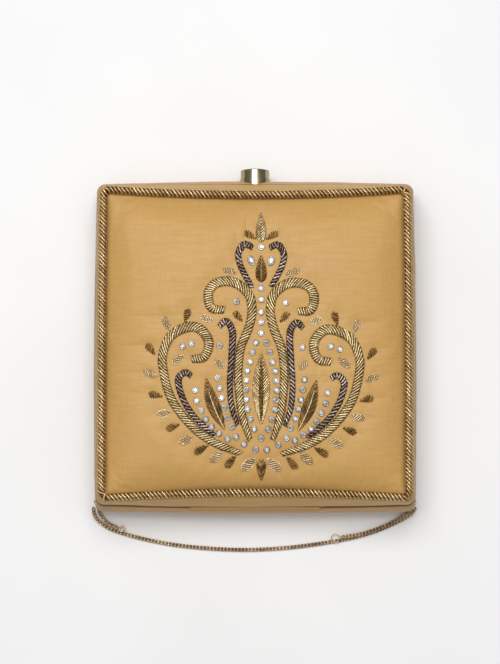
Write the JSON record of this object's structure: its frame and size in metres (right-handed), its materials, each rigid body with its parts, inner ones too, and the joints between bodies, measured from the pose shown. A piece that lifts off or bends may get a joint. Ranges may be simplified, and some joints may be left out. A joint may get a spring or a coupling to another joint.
{
  "type": "evening bag",
  "caption": "Square hard box clutch in embroidered silk, with a padded front that hinges open, a push-knob lock and a fine chain.",
  "frame": {"origin": "middle of the flat of the back, which the closed bag lies on", "axes": "+X across the bag, +Y from the hinged edge to the lock, +Z out of the embroidered front"},
  "size_m": [0.1594, 0.1869, 0.0482],
  "materials": {
    "silk": "slubbed silk weave, soft sheen",
    "foam": "open-cell foam",
    "board": "pressed grey board",
    "lining": "plain satin",
    "frame_metal": "antiqued brass plate",
    "steel": "plain pressed steel",
    "rivet_brass": "plain brass",
    "brass": "polished brass plate",
    "bronze": "antiqued bronze plate",
    "gold_thread": "coiled gilt wire thread",
    "dark_thread": "coiled gunmetal wire thread",
    "light_thread": "coiled pale gilt wire thread",
    "bronze_thread": "coiled bronze wire thread",
    "crystal": "faceted, foil backed"
  },
  "bodies": {
    "root": {"back_cover": "silk", "back_padding": "foam", "back_board": "board", "back_lining": "lining", "back_frame": "frame_metal", "hinge_knuckles_back": "frame_metal", "hinge_pin": "steel", "back_rivets": "rivet_brass", "lock_collar": "brass", "lock_housing": "steel", "housing_bracket": "steel", "chain_lugs": "bronze", "corner_rings": "bronze", "chain_main": "bronze", "chain_tail_right": "bronze", "chain_tail_left": "bronze", "chain_end_rings": "bronze"},
    "lid": {"lid_cover": "silk", "hinge_cover": "silk", "lid_padding": "foam", "lid_board": "board", "lid_lining": "lining", "lid_frame": "frame_metal", "hinge_knuckles_lid": "frame_metal", "lid_catch": "steel", "lid_rivets": "rivet_brass", "border_cord": "gold_thread", "gold_scrolls": "gold_thread", "dark_scrolls": "dark_thread", "light_leaves": "light_thread", "bronze_leaves": "bronze_thread", "centre_leaf": "light_thread", "round_stones": "crystal", "oval_stones": "crystal"},
    "knob": {"push_knob": "brass", "latch_slide": "steel", "knob_spring": "steel"}
  },
  "joints": [
    {"name": "lid_hinge", "type": "hinge", "parent": "root", "child": "lid", "pos_m": [0, -0.0783, 0.022], "axis": [1, 0, 0], "range_deg": [0, 100]},
    {"name": "knob_press", "type": "slide", "parent": "root", "child": "knob", "axis": [0, -1, 0], "range_m": [0, 0.0015], "stiffness_N_per_m": 400, "deforming": ["knob_spring"]}
  ]
}
